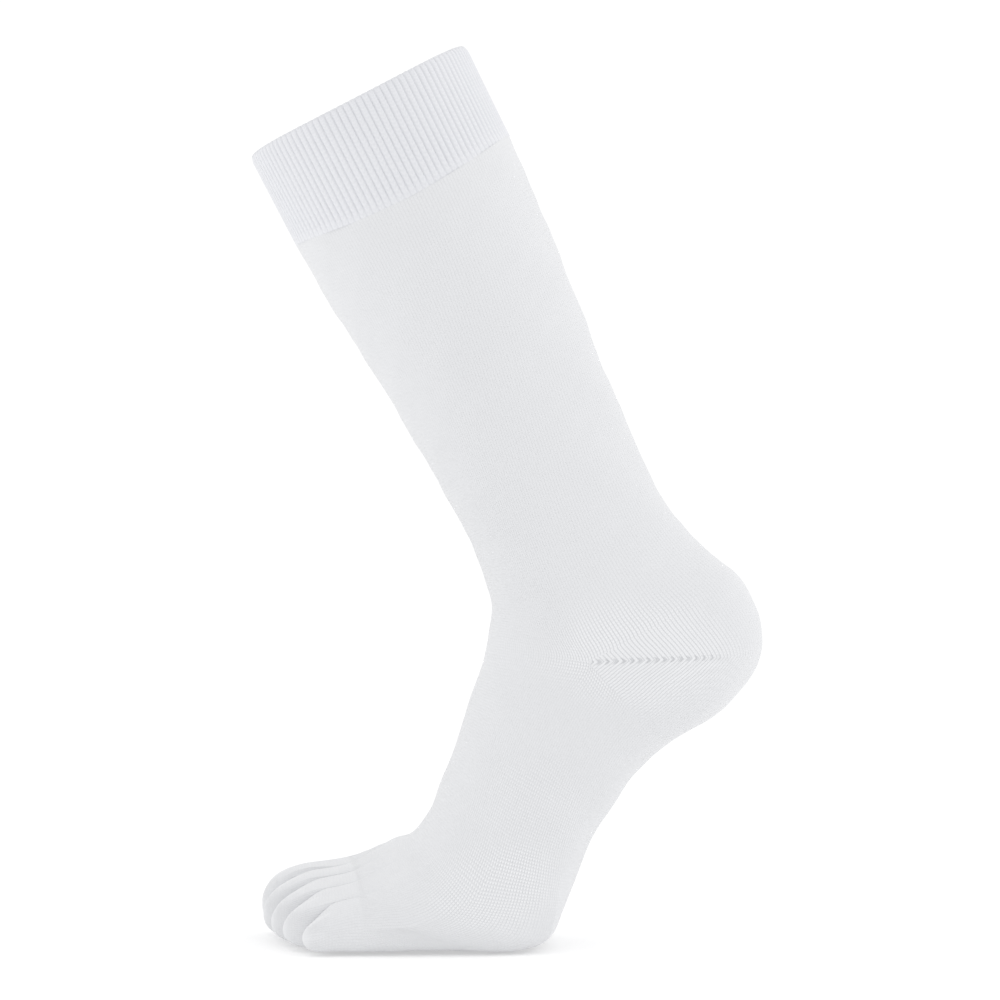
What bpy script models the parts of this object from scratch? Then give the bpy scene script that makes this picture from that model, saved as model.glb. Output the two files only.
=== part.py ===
"""A knitted toe sock for the left foot, in the form it has when worn on tiptoe.

Lengths are in metres. The toes point to -X, the little toe's side faces -Y and +Z is up. The origin is
the centre of the leg opening, where the sock hangs on the leg. The sock is one skin of closed courses,
each a front and a back arc that meet at the two sides. The skin is cut into the cuff, the leg, the heel
pocket and the foot, and the foot ends in five lobes, where the toe pockets start.
"""

import math
from collections import namedtuple

import bpy
import numpy as np

KNIT_WALL = 0.0014  # plain knit, two yarns thick
CUFF_WALL = 0.0019  # ribbed band, through a rib
SEAM_GAP = 0.0003  # between pieces that are knitted on to each other

CUFF_DEPTH = 0.0996  # front to back at the rim
CUFF_WIDTH = 0.0920  # side to side at the rim
CUFF_HEIGHT = 0.0410  # ribbed band, along the shin
RIM_SAG = 0.0028  # the rim lies this much lower at the sides of the calf than in front and behind
CUFF_SAG = 0.0070  # and so does the band's lower edge
RIB_COUNT = 106
RIB_DEPTH = 0.0005

LEG_LENGTH = 0.2048  # band to the heel's side points, along the leg
LEG_LEAN = math.radians(27.4)  # forward of plumb
ANKLE_DEPTH = 0.0783  # front to back at the slimmest course
ANKLE_WIDTH = 0.0630

HEEL_REACH = 0.0731  # side points to the back of the heel
HEEL_WIDTH = 0.0640  # across the side points
HEEL_RISE = math.radians(27.4)  # the pocket's first course, above level
HEEL_TURN = math.radians(74.8)  # from its first course to its last

INSTEP_REACH = 0.0406  # side points forward to the instep, level
INSTEP_RISE = 0.0057  # and the instep's course lies this much higher there
FOOT_DROP = 0.1160  # side points to the floor under the ball, straight down
BALL_REACH = 0.0950  # side points forward to where the toes part, level
BALL_WIDTH = 0.0930
TOE_LINE_SLANT = 0.11  # the toes part further forward on the big toe's side

LOBE_STEPS = 6  # columns over each toe, and under it
LOBE_EDGE = math.radians(36)  # the foot follows each toe this near to the cleft
LOBE_ROUND = 3.0

TOE_REACH = 0.0370  # the longest pocket, from where the toes part to its tip
TOE_HEIGHT = 0.0314  # top of the big toe above the floor, where the toes part

LegRow = namedtuple("LegRow", "along centre lead calf heel width")
LEG_ROWS = (
    # along and centre are shares of LEG_LENGTH; lead, of how far the heel's first course runs ahead
    # in front; calf, of the step from ankle to cuff; heel, of the step from ankle to heel course
    LegRow(0.00, -0.002, 0.00, 0.950, 0.000, 0.96),
    LegRow(0.11, -0.004, 0.00, 0.800, 0.000, 0.86),
    LegRow(0.22, -0.004, 0.00, 0.655, 0.000, 0.73),
    LegRow(0.34, -0.005, 0.00, 0.436, 0.000, 0.53),
    LegRow(0.46, -0.008, 0.00, 0.232, 0.000, 0.32),
    LegRow(0.58, -0.011, 0.00, 0.100, 0.000, 0.15),
    LegRow(0.70, -0.014, 0.04, 0.000, 0.000, 0.03),
    LegRow(0.80, -0.017, 0.34, 0.000, 0.066, 0.00),
    LegRow(0.88, -0.016, 0.60, 0.000, 0.289, 0.02),
    LegRow(0.95, -0.013, 0.86, 0.000, 0.672, 0.03),
)

HeelRow = namedtuple("HeelRow", "turn reach")
HEEL_ROWS = (
    # shares of HEEL_TURN and HEEL_REACH
    HeelRow(0.00, 0.973),
    HeelRow(0.12, 0.993),
    HeelRow(0.22, 1.000),
    HeelRow(0.29, 0.993),
    HeelRow(0.37, 0.962),
    HeelRow(0.47, 0.910),
    HeelRow(0.58, 0.845),
    HeelRow(0.72, 0.760),
    HeelRow(0.88, 0.688),
    HeelRow(1.00, 0.655),
)

FootRow = namedtuple("FootRow", "front_x front_z side_x side_z back_x back_z width ridge lobed")
FOOT_ROWS = (
    # forward (x) and down (z) from the side points: front_x is a share of the way from INSTEP_REACH to
    # BALL_REACH, the other x of BALL_REACH, z of FOOT_DROP; width is a share of the way from
    # HEEL_WIDTH to BALL_WIDTH; the ridge, of the half width, leans to the big toe; lobed is how much
    # the course already follows the toes
    FootRow(0.000, -0.049, 0.000, 0.000, -0.341, 0.304, 0.00, 0.00, 0.0),
    FootRow(0.079, 0.070, 0.088, 0.140, -0.222, 0.391, 0.00, 0.05, 0.0),
    FootRow(0.159, 0.187, 0.178, 0.300, -0.125, 0.498, 0.01, 0.10, 0.0),
    FootRow(0.250, 0.315, 0.264, 0.460, -0.047, 0.597, 0.06, 0.16, 0.0),
    FootRow(0.347, 0.438, 0.337, 0.600, 0.013, 0.693, 0.16, 0.22, 0.0),
    FootRow(0.452, 0.548, 0.410, 0.730, 0.061, 0.795, 0.38, 0.29, 0.0),
    FootRow(0.565, 0.620, 0.500, 0.826, 0.102, 0.868, 0.68, 0.38, 0.0),
    FootRow(0.686, 0.650, 0.610, 0.873, 0.160, 0.966, 0.93, 0.48, 0.0),
    FootRow(0.806, 0.675, 0.725, 0.900, 0.310, 1.000, 1.00, 0.60, 0.0),
    FootRow(0.913, 0.700, 0.850, 0.910, 0.590, 1.000, 1.00, 0.70, 0.35),
    FootRow(0.974, 0.718, 0.940, 0.915, 0.830, 1.000, 1.00, 0.74, 0.75),
    FootRow(1.000, 0.725, 1.000, 0.915, 1.000, 1.000, 1.00, 0.74, 1.0),
)

Toe = namedtuple("Toe", "name length width top middle tip_top tip_middle spread")
TOES = (
    # length is a share of TOE_REACH; the heights above the floor at the root and near the tip, of
    # TOE_HEIGHT; width, and how far the tip spreads to the big toe's side, of BALL_WIDTH
    Toe("little_toe", 0.635, 0.168, 0.589, 0.271, 0.398, 0.207, -0.013),
    Toe("fourth_toe", 0.824, 0.168, 0.780, 0.334, 0.525, 0.255, -0.006),
    Toe("third_toe", 0.932, 0.176, 0.892, 0.366, 0.621, 0.287, 0.000),
    Toe("second_toe", 1.000, 0.186, 0.962, 0.389, 0.717, 0.334, 0.006),
    Toe("big_toe", 0.986, 0.302, 1.000, 0.414, 0.834, 0.398, 0.009),
)
TOE_STATIONS = (0.0, 0.22, 0.45, 0.65, 0.79, 0.88, 0.94, 0.98)
TOE_BLUNT = 5.5  # a higher power is a blunter tip
TOE_WAIST = 0.98  # a pocket's width between root and tip, as a share, so that the toes stand apart

CALF_ROUND = 2.0  # superellipse powers: 2 is an ellipse, more is squarer
HEEL_ROUND = 2.5
HEEL_TIP = math.radians(0.7)  # the pocket starts this far round from the side points
SOLE_ROUND = 5.0
SIDE_SHIFT = -0.281  # the side points lie forward of the leg's middle, a share of ANKLE_DEPTH

DOWN_LEG = np.array([math.sin(LEG_LEAN), -math.cos(LEG_LEAN)])
BACK_OF_LEG = np.array([math.cos(LEG_LEAN), math.sin(LEG_LEAN)])

COLUMNS = 2 * LOBE_STEPS * len(TOES)  # around the leg and the foot

RIB_WHITE = (0.80, 0.81, 0.83)
LEG_WHITE = (0.82, 0.83, 0.85)
FOOT_WHITE = (0.83, 0.84, 0.86)
MATT = 0.9

Course = namedtuple("Course", "front side back half_width ridge spread front_round back_round sag")


def side_point():
    """The point in the mid plane where leg, heel and foot meet on both sides of the ankle."""
    centre = SIDE_SHIFT * ANKLE_DEPTH
    return (CUFF_HEIGHT + LEG_LENGTH) * DOWN_LEG + centre * BACK_OF_LEG


def smooth(t):
    """Rises from 0 to 1 with level ends."""
    return t * t * (3 - 2 * t)


def powered(values, power):
    return np.sign(values) * np.abs(values) ** (2 / power)


def around(course, angles, inset):
    """Points of a course at these angles: 0 in front, a quarter turn on the little toe's side, half a
    turn behind. Inset moves them into the sock by a wall. Across the sock each half is a superellipse,
    and the front one is highest at the ridge."""
    cos, sin = np.cos(angles), np.sin(angles)
    power = np.where(cos > 0, course.front_round, course.back_round)
    across = -powered(sin, power)
    if course.spread > 0:
        across = swell(course.spread, across, toe_spacing())
    ridge = np.where(cos > 0, course.ridge, 0.0)
    turn = np.where(across > ridge, (across - ridge) / (1 - ridge), (ridge - across) / (1 + ridge))
    reach = (1 - np.clip(turn, 0, 1) ** power) ** (1 / power)
    front, back = course.front - course.side, course.back - course.side
    front = front * (1 - inset / np.linalg.norm(front))
    back = back * (1 - inset / np.linalg.norm(back))
    flat = reach[:, None] * np.where(cos[:, None] > 0, front, back)
    flat = course.side + flat + course.sag * across[:, None] ** 2 * DOWN_LEG
    return np.column_stack((flat[:, 0], (course.half_width - inset) * across, flat[:, 1]))


def swell(share, slim, wide):
    return slim + share * (wide - slim)


def cuff_course(share):
    """A course of the band, from the rim at 0 to the leg at 1."""
    last = leg_course(LEG_ROWS[0])
    depth = swell(share, CUFF_DEPTH, np.linalg.norm(last.back - last.front))
    middle = share * (last.front + last.back) / 2
    reach = depth / 2 * BACK_OF_LEG
    half_width = swell(share, CUFF_WIDTH / 2, last.half_width)
    sag = swell(share, RIM_SAG, CUFF_SAG)
    return Course(middle - reach, middle, middle + reach, half_width, 0.0, 0.0, CALF_ROUND, CALF_ROUND, sag)


def leg_course(row):
    """A course of the leg. Its front point runs ahead of its side points as the ankle nears, and its
    side points move forward to where the heel starts."""
    heel = heel_course(HEEL_ROWS[0])
    heel_depth = abs((heel.back - heel.front) @ BACK_OF_LEG)
    lead = row.lead * (heel.side - heel.front) @ DOWN_LEG
    depth = swell(row.calf, ANKLE_DEPTH, CUFF_DEPTH) + row.heel * (heel_depth - ANKLE_DEPTH)
    width = swell(row.width, ANKLE_WIDTH, CUFF_WIDTH)
    along = (CUFF_HEIGHT + row.along * LEG_LENGTH) * DOWN_LEG
    middle = along + row.centre * LEG_LENGTH * BACK_OF_LEG
    front = middle - depth / 2 * BACK_OF_LEG - lead * DOWN_LEG
    back = middle + depth / 2 * BACK_OF_LEG
    side = along + smooth(row.along) * SIDE_SHIFT * ANKLE_DEPTH * BACK_OF_LEG
    back_round = swell(row.heel, CALF_ROUND, HEEL_ROUND)
    sag = CUFF_SAG * (1 - row.along) ** 2
    return Course(front, side, back, width / 2, 0.0, 0.0, CALF_ROUND, back_round, sag)


def heel_course(row):
    """A course of the heel pocket: it turns about the side points, and only its back half is knitted."""
    angle = HEEL_RISE - row.turn * HEEL_TURN
    back = side_point() + row.reach * HEEL_REACH * np.array([math.cos(angle), math.sin(angle)])
    front = side_point() + np.array([-INSTEP_REACH, INSTEP_RISE])
    return Course(front, side_point(), back, HEEL_WIDTH / 2, 0.0, 0.0, CALF_ROUND, HEEL_ROUND, 0.0)


def foot_point(forward, down):
    return side_point() + np.array([-forward, -down * FOOT_DROP])


def foot_course(row):
    """A course of the foot. The first one joins the instep to the heel's last course, and what that
    moves fades out towards the ball."""
    joint = heel_course(HEEL_ROWS[-1])
    first = FOOT_ROWS[0]
    fade = (1 - row.side_z / FOOT_ROWS[-1].side_z) ** 2
    front = foot_point(swell(row.front_x, INSTEP_REACH, BALL_REACH), row.front_z)
    front = front + fade * (joint.front - foot_point(INSTEP_REACH, first.front_z))
    side = foot_point(row.side_x * BALL_REACH, row.side_z)
    back = foot_point(row.back_x * BALL_REACH, row.back_z)
    back = back + fade * (joint.back - foot_point(first.back_x * BALL_REACH, first.back_z))
    width = swell(row.width, HEEL_WIDTH, BALL_WIDTH)
    sole_round = swell(row.width, HEEL_ROUND, SOLE_ROUND)
    return Course(front, side, back, width / 2, row.ridge, row.width, CALF_ROUND, sole_round, 0.0)


def toe_cells():
    """Each toe with the middle and the half width of its cell in the row across the foot."""
    shares = sum(toe.width for toe in TOES)
    edge = -BALL_WIDTH / 2
    for toe in TOES:
        width = toe.width / shares * BALL_WIDTH
        yield toe, edge + width / 2, width / 2
        edge += width


def toe_line():
    return foot_point(BALL_REACH, 0)[0]


def toe_root_x(y):
    return toe_line() - TOE_LINE_SLANT * y


def floor_z():
    return foot_point(0, 1)[1]


def lobe(angles, middle_y, half_width, middle_z, above, below):
    """A toe's outline across it: angle 0 points to the big toe's side and a quarter turn points up."""
    cos, sin = powered(np.cos(angles), LOBE_ROUND), powered(np.sin(angles), LOBE_ROUND)
    z = middle_z + np.where(sin > 0, above, below) * sin
    return np.column_stack((middle_y + half_width * cos, z))


def lobe_angles(toe):
    """The angles of a toe's upper arc, from the little toe's side to the big toe's side."""
    start = math.pi if toe is TOES[0] else math.pi - LOBE_EDGE
    end = 0.0 if toe is TOES[-1] else LOBE_EDGE
    return np.linspace(start, end, LOBE_STEPS + 1)


def lobed_loop(inset):
    """The foot's last course: over the five toes from the outer side to the inner side, and back
    underneath them, in the order of the columns. Neighbours share one point in the cleft."""
    upper, lower = [], []
    for toe, middle_y, half_width in toe_cells():
        above = (toe.top - toe.middle) * TOE_HEIGHT - inset
        below = toe.middle * TOE_HEIGHT - inset
        angles = lobe_angles(toe)
        for half, sign in ((upper, 1), (lower, -1)):
            height = floor_z() + toe.middle * TOE_HEIGHT
            half.append(lobe(sign * angles, middle_y, half_width - inset, height, above, below))
    loops = []
    for half in (upper, lower):
        points = [half[0][0]]
        for index, arc in enumerate(half):
            points.extend(arc[1:-1])
            if index + 1 < len(half):
                points.append((arc[-1] + half[index + 1][0]) / 2)
            else:
                points.append(arc[-1])
        loops.append(np.array(points))
    top, bottom = loops
    quarter = COLUMNS // 4
    flat = np.empty((COLUMNS, 2))
    flat[(quarter - np.arange(len(top))) % COLUMNS] = top
    flat[(quarter + np.arange(len(bottom))) % COLUMNS] = bottom
    return np.column_stack((toe_root_x(flat[:, 0]), flat))


def toe_spacing():
    """Where the columns lie across the foot once they follow the toes, as shares of its half width."""
    return lobed_loop(0.0)[:, 1] / (BALL_WIDTH / 2)


def foot_loop(row, inset):
    """A course of the foot that changes from a plain round to the toes' outline as row.lobed rises."""
    angles = 2 * math.pi * np.arange(COLUMNS) / COLUMNS
    plain = around(foot_course(row), angles, inset)
    lobed = lobed_loop(inset)
    middle_x = foot_course(row).side[0]
    plain[:, 0] -= TOE_LINE_SLANT * plain[:, 1] * row.lobed
    lobed[:, 0] += middle_x - toe_line() + (plain[:, 0] - middle_x) * (1 - row.lobed)
    return plain + smooth(row.lobed) * (lobed - plain)


def shifted(loop, towards, gap):
    """A loop moved by a gap towards the matching points of its neighbour."""
    way = towards - loop
    return loop + way * gap / np.linalg.norm(way, axis=1, keepdims=True)


def grid_faces(rows, columns, closed, first=0):
    """Quads between neighbouring rows of a grid, wound so that they face out of the sock when the
    rows run down it and the columns run from the front to the little toe's side."""
    across = np.arange(columns if closed else columns - 1)
    down = np.arange(rows - 1)
    row, column = np.meshgrid(down, across, indexing="ij")
    here = first + row * columns + column
    right = first + row * columns + (column + 1) % columns
    return np.stack((here, here + columns, right + columns, right), axis=-1).reshape(-1, 4)


def tube(outer, inner):
    """Mesh data of an open tube: an outer and an inner grid of loops, joined at both ends."""
    columns = outer.shape[1]
    points = np.concatenate((outer.reshape(-1, 3), inner.reshape(-1, 3)))
    start = len(outer) * columns
    outside = grid_faces(len(outer), columns, True)
    inside = grid_faces(len(inner), columns, True, start)[:, ::-1]
    here = np.arange(columns)
    after = (here + 1) % columns
    top = np.stack((here, after, start + after, start + here), axis=-1)
    last_out, last_in = start - columns, len(points) - columns
    end = np.stack((last_out + here, last_in + here, last_in + after, last_out + after), axis=-1)
    return points, np.concatenate((outside, inside, top, end)).tolist()


def add_piece(name, points, faces, colour):
    mesh = bpy.data.meshes.new(name)
    mesh.from_pydata([tuple(point) for point in points], [], faces)
    mesh.validate()
    mesh.update()
    mesh.shade_smooth()
    piece = bpy.data.objects.new(name, mesh)
    bpy.context.scene.collection.objects.link(piece)
    material = bpy.data.materials.new(name + "_knit")
    material.use_nodes = True
    shader = material.node_tree.nodes["Principled BSDF"]
    shader.inputs["Base Color"].default_value = (*colour, 1.0)
    shader.inputs["Roughness"].default_value = MATT
    shader.inputs["Metallic"].default_value = 0.0
    mesh.materials.append(material)
    return piece


def make_cuff():
    """The ribbed band: every second column is a rib's crest, and the ribs run from rim to leg."""
    columns = 2 * RIB_COUNT
    angles = 2 * math.pi * np.arange(columns) / columns
    ribs = RIB_DEPTH * (1 - np.arange(columns) % 2)
    end = 1 - SEAM_GAP / 2 / CUFF_HEIGHT
    outer, inner = [], []
    for share in (0.0, end / 2, end):
        course = cuff_course(share)
        skin = around(course, angles, 0.0)
        lining = around(course, angles, CUFF_WALL)
        inwards = (lining - skin) / CUFF_WALL
        outer.append(skin + inwards * (RIB_DEPTH - ribs)[:, None])
        inner.append(lining + inwards * (ribs - RIB_DEPTH)[:, None])
    add_piece("cuff", *tube(np.array(outer), np.array(inner)), RIB_WHITE)


def make_leg():
    """The plain tube from the band to the ankle, where it ends along the heel and the instep."""
    angles = 2 * math.pi * np.arange(COLUMNS) / COLUMNS
    courses = [leg_course(row) for row in LEG_ROWS]
    last = heel_course(HEEL_ROWS[0])
    grids = []
    for inset in (0.0, KNIT_WALL):
        loops = [around(course, angles, inset) for course in courses]
        end = around(last, angles, inset)
        loops[0] = shifted(loops[0], loops[1], SEAM_GAP / 2)
        loops.append(shifted(end, loops[-1], SEAM_GAP / 2))
        grids.append(np.array(loops))
    add_piece("leg", *tube(*grids), LEG_WHITE)


def make_heel():
    """The pocket behind the side points. Its courses start and end there, so the wall closes to an
    edge on each side."""
    columns = 2 * math.pi * (COLUMNS // 4 + np.arange(1, COLUMNS // 2)) / COLUMNS
    start, end = math.pi / 2, 3 * math.pi / 2
    angles = np.array([start + HEEL_TIP, start + 4 * HEEL_TIP, *columns, end - 4 * HEEL_TIP, end - HEEL_TIP])
    grids = []
    for inset in (0.0, KNIT_WALL):
        loops = np.array([around(heel_course(row), angles, inset) for row in HEEL_ROWS])
        first = shifted(loops[0], loops[1], SEAM_GAP / 2)
        last = shifted(loops[-1], loops[-2], SEAM_GAP / 2)
        grids.append(np.array([first, *loops[1:-1], last]))
    points, faces = patch(*grids)
    add_piece("heel", points, faces, LEG_WHITE)


def patch(outer, inner):
    """Mesh data of an open wall: two grids joined along all four edges."""
    rows, columns = outer.shape[:2]
    points = np.concatenate((outer.reshape(-1, 3), inner.reshape(-1, 3)))
    start = rows * columns
    faces = [*grid_faces(rows, columns, False), *grid_faces(rows, columns, False, start)[:, ::-1]]
    index = np.arange(start).reshape(rows, columns)
    border = np.concatenate((index[0, :-1], index[:-1, -1], index[-1, :0:-1], index[:0:-1, 0]))
    after = np.roll(border, -1)
    faces.extend(np.stack((border, after, start + after, start + border), axis=-1))
    return points, [list(map(int, face)) for face in faces]


def make_foot():
    """Instep and sole as one tube, from the heel to the clefts between the toes."""
    grids = []
    for inset in (0.0, KNIT_WALL):
        loops = [foot_loop(row, inset) for row in FOOT_ROWS]
        loops[0] = shifted(loops[0], loops[1], SEAM_GAP / 2)
        grids.append(np.array(loops))
    add_piece("foot", *tube(*grids), FOOT_WHITE)


def toe_loops(toe, middle_y, half_width, inset):
    """The courses of one toe pocket from root to tip, and the tip's point."""
    upper = lobe_angles(toe)
    lower = -upper[::-1]
    if toe is TOES[0]:
        angles = np.concatenate((upper, [0.0], lower[:-1]))
    elif toe is TOES[-1]:
        angles = np.concatenate((upper, lower[1:], [-math.pi]))
    else:
        angles = np.concatenate((upper, [0.0], lower, [-math.pi]))
    angles = angles[::-1]
    length = toe.length * TOE_REACH - inset
    spread = toe.spread * BALL_WIDTH
    loops = []
    for share in TOE_STATIONS:
        size = (1 - share**TOE_BLUNT) ** 0.5
        waist = 1 - (1 - TOE_WAIST) * math.sin(math.pi * min(2 * share, 1) / 2)
        middle = swell(share, toe.middle, toe.tip_middle) * TOE_HEIGHT
        top = swell(share, toe.top, toe.tip_top) * TOE_HEIGHT
        across = (half_width - SEAM_GAP / 2) * waist - inset
        above = (top - middle - inset) * size
        below = (middle - inset) * size
        centre = middle_y + share * spread
        flat = lobe(angles, centre, across * size, floor_z() + middle, above, below)
        x = toe_root_x(flat[:, 0]) * (1 - share) + toe_root_x(middle_y) * share
        x = x - SEAM_GAP - share * length
        loops.append(np.column_stack((x, flat)))
    tip_x = toe_root_x(middle_y) - SEAM_GAP - length
    tip = np.array([tip_x, middle_y + spread, floor_z() + toe.tip_middle * TOE_HEIGHT])
    return np.array(loops), tip


def make_toe(toe, middle_y, half_width):
    """A pocket: an open root, a wall all round and a rounded tip that is closed on both skins."""
    outer, outer_tip = toe_loops(toe, middle_y, half_width, 0.0)
    inner, inner_tip = toe_loops(toe, middle_y, half_width, KNIT_WALL)
    rows, columns = outer.shape[:2]
    start = rows * columns
    points = np.concatenate((outer.reshape(-1, 3), inner.reshape(-1, 3), [outer_tip, inner_tip]))
    here = np.arange(columns)
    after = (here + 1) % columns
    outside = grid_faces(rows, columns, True)
    inside = grid_faces(rows, columns, True, start)[:, ::-1]
    rim = np.stack((here, after, start + after, start + here), axis=-1)
    last_out, last_in = start - columns, 2 * start - columns
    faces = np.concatenate((outside, inside, rim)).tolist()
    for a, b in zip(here.tolist(), after.tolist()):
        faces.append([last_out + a, 2 * start, last_out + b])
        faces.append([last_in + a, last_in + b, 2 * start + 1])
    add_piece(toe.name, points, faces, FOOT_WHITE)


def main():
    for old in list(bpy.data.objects):
        bpy.data.objects.remove(old)
    make_cuff()
    make_leg()
    make_heel()
    make_foot()
    for toe, middle_y, half_width in toe_cells():
        make_toe(toe, middle_y, half_width)


main()
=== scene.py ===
# %% [markdown]
# # A white toe sock, worn on tiptoe
# The sock is one knitted tube: a ribbed cuff, a plain leg, a heel pocket, a foot and five toe pockets.
# It keeps the form of the raised foot that wore it, and nothing of that foot is shown. Its CAD model
# gives the nine solids and their sizes. This script lays a fine knitted surface over each of them.

# %% Load the fixed frame
import math
from collections import namedtuple

import bmesh
import bpy
import numpy as np
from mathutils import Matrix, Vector


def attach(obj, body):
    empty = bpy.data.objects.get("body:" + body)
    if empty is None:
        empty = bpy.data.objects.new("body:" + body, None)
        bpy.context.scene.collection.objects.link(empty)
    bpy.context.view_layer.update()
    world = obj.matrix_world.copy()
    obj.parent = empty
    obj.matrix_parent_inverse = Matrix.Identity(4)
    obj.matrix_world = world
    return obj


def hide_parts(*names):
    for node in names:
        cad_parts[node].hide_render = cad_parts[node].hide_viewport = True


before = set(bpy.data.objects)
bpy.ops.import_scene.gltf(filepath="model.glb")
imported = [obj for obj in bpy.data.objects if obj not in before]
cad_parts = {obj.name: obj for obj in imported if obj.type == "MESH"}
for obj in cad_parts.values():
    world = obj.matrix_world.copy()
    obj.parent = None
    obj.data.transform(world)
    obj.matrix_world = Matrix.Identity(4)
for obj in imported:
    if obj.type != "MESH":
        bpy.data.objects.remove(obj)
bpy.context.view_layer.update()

# %% [markdown]
# ## Sizes
# The solids were built from these sizes, so the surfaces are worked out from the same ones. Repeating
# them keeps the two models together: a change to one of them has to be made in both. The rows after
# them are chosen courses of the sock, from the cuff to the toes, and hold shares of these sizes.

# %% Sizes of the sock, in metres and radians
KNIT_WALL = 0.0014
CUFF_WALL = 0.0019

CUFF_DEPTH = 0.0996
CUFF_WIDTH = 0.0920
CUFF_HEIGHT = 0.0410
RIM_SAG = 0.0028
CUFF_SAG = 0.0070
RIB_COUNT = 106

LEG_LENGTH = 0.2048
LEG_LEAN = math.radians(27.4)
ANKLE_DEPTH = 0.0783
ANKLE_WIDTH = 0.0630

HEEL_REACH = 0.0731
HEEL_WIDTH = 0.0640
HEEL_RISE = math.radians(27.4)
HEEL_TURN = math.radians(74.8)

INSTEP_REACH = 0.0406
INSTEP_RISE = 0.0057
FOOT_DROP = 0.1160
BALL_REACH = 0.0950
BALL_WIDTH = 0.0930
TOE_LINE_SLANT = 0.11

LOBE_EDGE = math.radians(36)
TOE_REACH = 0.0370
TOE_HEIGHT = 0.0314
CALF_ROUND = 2.0
HEEL_ROUND = 2.5
SOLE_ROUND = 5.0
SIDE_SHIFT = -0.281
TOE_BLUNT = 5.5
TOE_WAIST = 0.98

LOBE_STEPS = 24
COLUMNS = 2 * LOBE_STEPS * 5
QUARTER = COLUMNS // 4
print("columns around the sock:", COLUMNS)

# %% Rows of the leg, the heel, the foot and the toes
LegRow = namedtuple("LegRow", "along centre lead calf heel width")
LEG_ROWS = (
    LegRow(0.00, -0.002, 0.00, 0.950, 0.000, 0.96),
    LegRow(0.11, -0.004, 0.00, 0.800, 0.000, 0.86),
    LegRow(0.22, -0.004, 0.00, 0.655, 0.000, 0.73),
    LegRow(0.34, -0.005, 0.00, 0.436, 0.000, 0.53),
    LegRow(0.46, -0.008, 0.00, 0.232, 0.000, 0.32),
    LegRow(0.58, -0.011, 0.00, 0.100, 0.000, 0.15),
    LegRow(0.70, -0.014, 0.04, 0.000, 0.000, 0.03),
    LegRow(0.80, -0.017, 0.34, 0.000, 0.066, 0.00),
    LegRow(0.88, -0.016, 0.60, 0.000, 0.289, 0.02),
    LegRow(0.95, -0.013, 0.86, 0.000, 0.672, 0.03),
)
HeelRow = namedtuple("HeelRow", "turn reach")
HEEL_ROWS = (
    HeelRow(0.00, 0.973),
    HeelRow(0.12, 0.993),
    HeelRow(0.22, 1.000),
    HeelRow(0.29, 0.993),
    HeelRow(0.37, 0.962),
    HeelRow(0.47, 0.910),
    HeelRow(0.58, 0.845),
    HeelRow(0.72, 0.760),
    HeelRow(0.88, 0.688),
    HeelRow(1.00, 0.655),
)
FootRow = namedtuple("FootRow", "front_x front_z side_x side_z back_x back_z width ridge lobed")
FOOT_ROWS = (
    FootRow(0.000, -0.049, 0.000, 0.000, -0.341, 0.304, 0.00, 0.00, 0.0),
    FootRow(0.079, 0.070, 0.088, 0.140, -0.222, 0.391, 0.00, 0.05, 0.0),
    FootRow(0.159, 0.187, 0.178, 0.300, -0.125, 0.498, 0.01, 0.10, 0.0),
    FootRow(0.250, 0.315, 0.264, 0.460, -0.047, 0.597, 0.06, 0.16, 0.0),
    FootRow(0.347, 0.438, 0.337, 0.600, 0.013, 0.693, 0.16, 0.22, 0.0),
    FootRow(0.452, 0.548, 0.410, 0.730, 0.061, 0.795, 0.38, 0.29, 0.0),
    FootRow(0.565, 0.620, 0.500, 0.826, 0.102, 0.868, 0.68, 0.38, 0.0),
    FootRow(0.686, 0.650, 0.610, 0.873, 0.160, 0.966, 0.93, 0.48, 0.0),
    FootRow(0.806, 0.675, 0.725, 0.900, 0.310, 1.000, 1.00, 0.60, 0.0),
    FootRow(0.913, 0.700, 0.850, 0.910, 0.590, 1.000, 1.00, 0.70, 0.35),
    FootRow(0.974, 0.718, 0.940, 0.915, 0.830, 1.000, 1.00, 0.74, 0.75),
    FootRow(1.000, 0.725, 1.000, 0.915, 1.000, 1.000, 1.00, 0.74, 1.0),
)
Toe = namedtuple("Toe", "name length width top middle tip_top tip_middle spread")
TOES = (
    Toe("little_toe", 0.635, 0.168, 0.589, 0.271, 0.398, 0.207, -0.013),
    Toe("fourth_toe", 0.824, 0.168, 0.780, 0.334, 0.525, 0.255, -0.006),
    Toe("third_toe", 0.932, 0.176, 0.892, 0.366, 0.621, 0.287, 0.000),
    Toe("second_toe", 1.000, 0.186, 0.962, 0.389, 0.717, 0.334, 0.006),
    Toe("big_toe", 0.986, 0.302, 1.000, 0.414, 0.834, 0.398, 0.009),
)
print("rows:", len(LEG_ROWS), "leg,", len(HEEL_ROWS), "heel,", len(FOOT_ROWS), "foot;", len(TOES), "toes")

# %% [markdown]
# ## Courses
# A course is one round of stitches. Each is a front and a back arc that meet at the two sides of the
# ankle. A superellipse gives both arcs: a power of 2 is an ellipse, and more is squarer. The columns
# are the wales, the lines of stitches down the sock, so they are spread evenly along each arc, as the
# needles of the knitting machine were. Only towards the toes do they gather over each toe.

# %% The frame of the leg and the points that the rows share
DOWN_LEG = np.array([math.sin(LEG_LEAN), -math.cos(LEG_LEAN)])
BACK_OF_LEG = np.array([math.cos(LEG_LEAN), math.sin(LEG_LEAN)])
Course = namedtuple("Course", "front side back half_width ridge spread front_round back_round sag")


def swell(share, slim, wide):
    """Goes from slim to wide as the share goes from 0 to 1."""
    return slim + share * (wide - slim)


def smooth(share):
    """Rises from 0 to 1 with level ends, and stays there beyond them."""
    share = np.clip(share, 0.0, 1.0)
    return share * share * (3 - 2 * share)


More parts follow.
